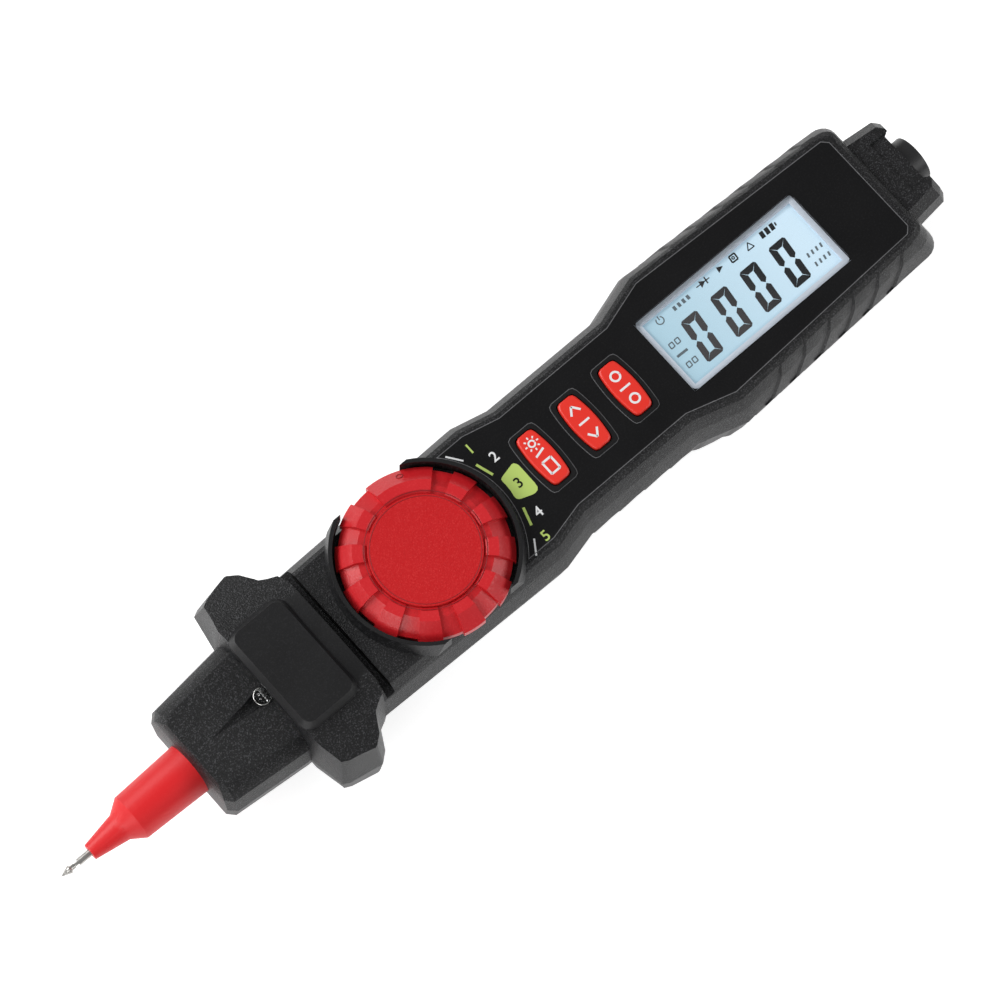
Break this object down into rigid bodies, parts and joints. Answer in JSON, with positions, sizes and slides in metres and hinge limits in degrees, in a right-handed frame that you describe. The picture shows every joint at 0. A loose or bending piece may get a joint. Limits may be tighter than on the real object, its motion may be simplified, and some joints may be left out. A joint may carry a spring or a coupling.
{
  "type": "pen multimeter",
  "caption": "Pen-shaped multimeter: pointed probe, hand guard, lugged rotary dial, oval keys, lit display and a 4 mm jack at the far end.",
  "frame": {"origin": "middle of the footprint, on the flat back the meter rests on", "axes": "+X from the probe tip to the jack, +Z out of the front face, +Y to the left when looking from the probe along the body with the face up"},
  "size_m": [0.208, 0.045, 0.0285],
  "materials": {
    "case_black": "fine grained matt black ABS with tiny sparkles",
    "overlay_black": "smooth satin black label with a thin edge line",
    "window_clear": "clear polished acrylic",
    "bezel_grey": "pale grey-white print",
    "lcd_blue": "pale blue lit liquid crystal panel",
    "grey_rubber": "grey conductive rubber",
    "board_green": "green solder mask on glass fibre",
    "inner_black": "moulded epoxy",
    "inner_white": "natural acetal",
    "film_yellow": "dipped coating",
    "dial_red": "satin red plastic, finely grained on top",
    "key_red": "satin orange-red plastic",
    "sleeve_red": "glossy red insulation",
    "jack_black": "satin black plastic",
    "probe_nickel": "bright nickel plating",
    "contact_brass": "plated brass",
    "screw_steel": "zinc plated steel",
    "lamp_clear": "clear epoxy",
    "cell_gold": "printed metal jacket"
  },
  "bodies": {
    "case": {"front_shell": "case_black", "rear_shell": "case_black", "battery_cover": "case_black", "battery_cover_screw": "screw_steel", "case_screws": "screw_steel", "front_overlay": "overlay_black", "display_window": "window_clear", "display_bezel": "bezel_grey", "lcd_glass": "lcd_blue", "backlight_panel": "bezel_grey", "zebra_strip": "grey_rubber", "main_board": "board_green", "board_screws": "screw_steel", "main_chip": "inner_black", "crystal": "screw_steel", "capacitors": "film_yellow", "divider_resistors": "inner_black", "ptc_resistor": "film_yellow", "buzzer": "inner_black", "switch_bodies": "inner_black", "switch_domes": "screw_steel", "probe_sleeve": "sleeve_red", "probe_barrel": "probe_nickel", "probe_spring": "screw_steel", "probe_socket": "contact_brass", "torch_led": "lamp_clear", "led_leads": "screw_steel", "com_socket": "jack_black", "com_contact": "probe_nickel", "left_cell": "cell_gold", "right_cell": "cell_gold", "cell_springs": "screw_steel", "cell_plates": "screw_steel"},
    "dial": {"dial_knob": "dial_red", "dial_cap": "dial_red", "dial_rotor": "inner_white", "rotor_screw": "screw_steel", "rotor_contacts": "contact_brass", "detent_balls": "screw_steel", "detent_springs": "screw_steel"},
    "hold_key": {"hold_button": "key_red", "hold_plunger": "inner_white"},
    "range_key": {"range_button": "key_red", "range_plunger": "inner_white"},
    "select_key": {"select_button": "key_red", "select_plunger": "inner_white"},
    "probe_point": {"probe_tip": "probe_nickel"}
  },
  "joints": [
    {"name": "dial_turn", "type": "hinge", "parent": "case", "child": "dial", "pos_m": [-0.01736, 0, 0.024], "axis": [0, 0, 1], "range_deg": [-102.6, 0]},
    {"name": "hold_press", "type": "slide", "parent": "case", "child": "hold_key", "axis": [0, 0, -1], "range_m": [0, 0.0005], "stiffness_N_per_m": 800, "springref_m": -0.0004},
    {"name": "range_press", "type": "slide", "parent": "case", "child": "range_key", "axis": [0, 0, -1], "range_m": [0, 0.0005], "stiffness_N_per_m": 800, "springref_m": -0.0004},
    {"name": "select_press", "type": "slide", "parent": "case", "child": "select_key", "axis": [0, 0, -1], "range_m": [0, 0.0005], "stiffness_N_per_m": 800, "springref_m": -0.0004},
    {"name": "tip_press", "type": "slide", "parent": "case", "child": "probe_point", "axis": [1, 0, 0], "range_m": [0, 0.0012], "stiffness_N_per_m": 1000, "springref_m": -0.0005}
  ]
}
